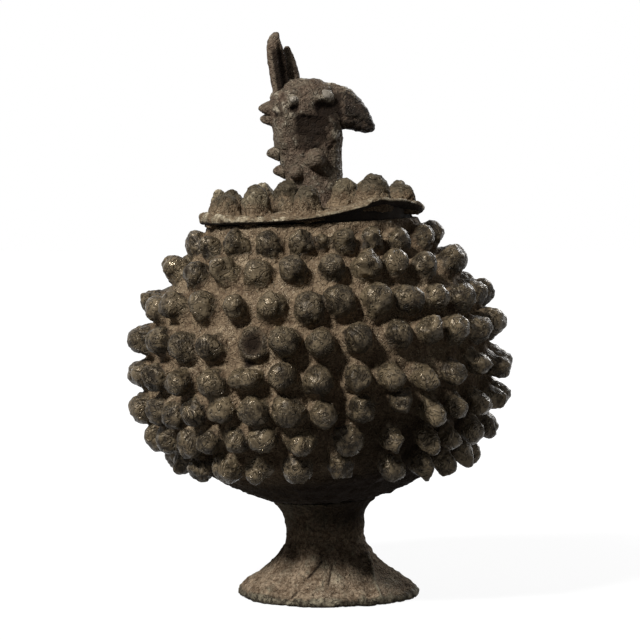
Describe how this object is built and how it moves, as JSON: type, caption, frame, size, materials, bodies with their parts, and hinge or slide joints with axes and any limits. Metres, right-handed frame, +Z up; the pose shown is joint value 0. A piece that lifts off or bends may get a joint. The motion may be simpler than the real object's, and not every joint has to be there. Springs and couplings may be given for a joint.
{
  "type": "footed cast bronze medicine box",
  "caption": "Round lidded box on a flared hollow foot, its bowl and loose lid set with blunt cast knobs, with a crested bird's head on the lid as the grip.",
  "frame": {"origin": "middle of the object's outline on the ground, under the belly of the bowl", "axes": "+Z up, +X towards the tip of the bird's beak, -Y towards the side seen in the picture"},
  "size_m": [0.205, 0.2056, 0.2991],
  "materials": {
    "bowl_bronze": "dark brown patina, matte, worn on the knobs",
    "foot_bronze": "brown earthy patina, matte",
    "lid_bronze": "brown patina, matte, paler on the worn edge",
    "bird_bronze": "dark brown patina, matte"
  },
  "bodies": {
    "vessel": {"pedestal_foot": "foot_bronze", "knobbed_bowl": "bowl_bronze"},
    "lid": {"lid_plate": "lid_bronze", "lid_flange": "lid_bronze", "lid_knob_01": "lid_bronze", "lid_knob_02": "lid_bronze", "lid_knob_03": "lid_bronze", "lid_knob_04": "lid_bronze", "lid_knob_05": "lid_bronze", "lid_knob_06": "lid_bronze", "lid_knob_07": "lid_bronze", "lid_knob_08": "lid_bronze", "lid_knob_09": "lid_bronze", "lid_knob_10": "lid_bronze", "lid_knob_11": "lid_bronze", "lid_knob_12": "lid_bronze", "lid_knob_13": "lid_bronze", "lid_knob_14": "lid_bronze", "lid_knob_15": "lid_bronze", "lid_knob_16": "lid_bronze", "lid_knob_17": "lid_bronze", "lid_knob_18": "lid_bronze", "lid_knob_19": "lid_bronze", "bird_head": "bird_bronze", "bird_beak": "bird_bronze", "bird_eye_right": "bird_bronze", "bird_eye_left": "bird_bronze", "bird_ear_right": "bird_bronze", "bird_ear_left": "bird_bronze", "bird_throat_pellet_right": "bird_bronze", "bird_throat_pellet_left": "bird_bronze", "bird_nape_pellet_right": "bird_bronze", "bird_nape_pellet_left": "bird_bronze", "bird_nape_spike_a": "bird_bronze", "bird_nape_spike_b": "bird_bronze", "bird_nape_spike_c": "bird_bronze", "bird_nape_spike_d": "bird_bronze", "crest_feather_right": "bird_bronze", "crest_feather_left": "bird_bronze"}
  },
  "joints": [
    {"name": "lid_lift", "type": "slide", "parent": "vessel", "child": "lid", "axis": [-0.0436, 0, 0.999], "range_m": [0, 0.12]}
  ]
}
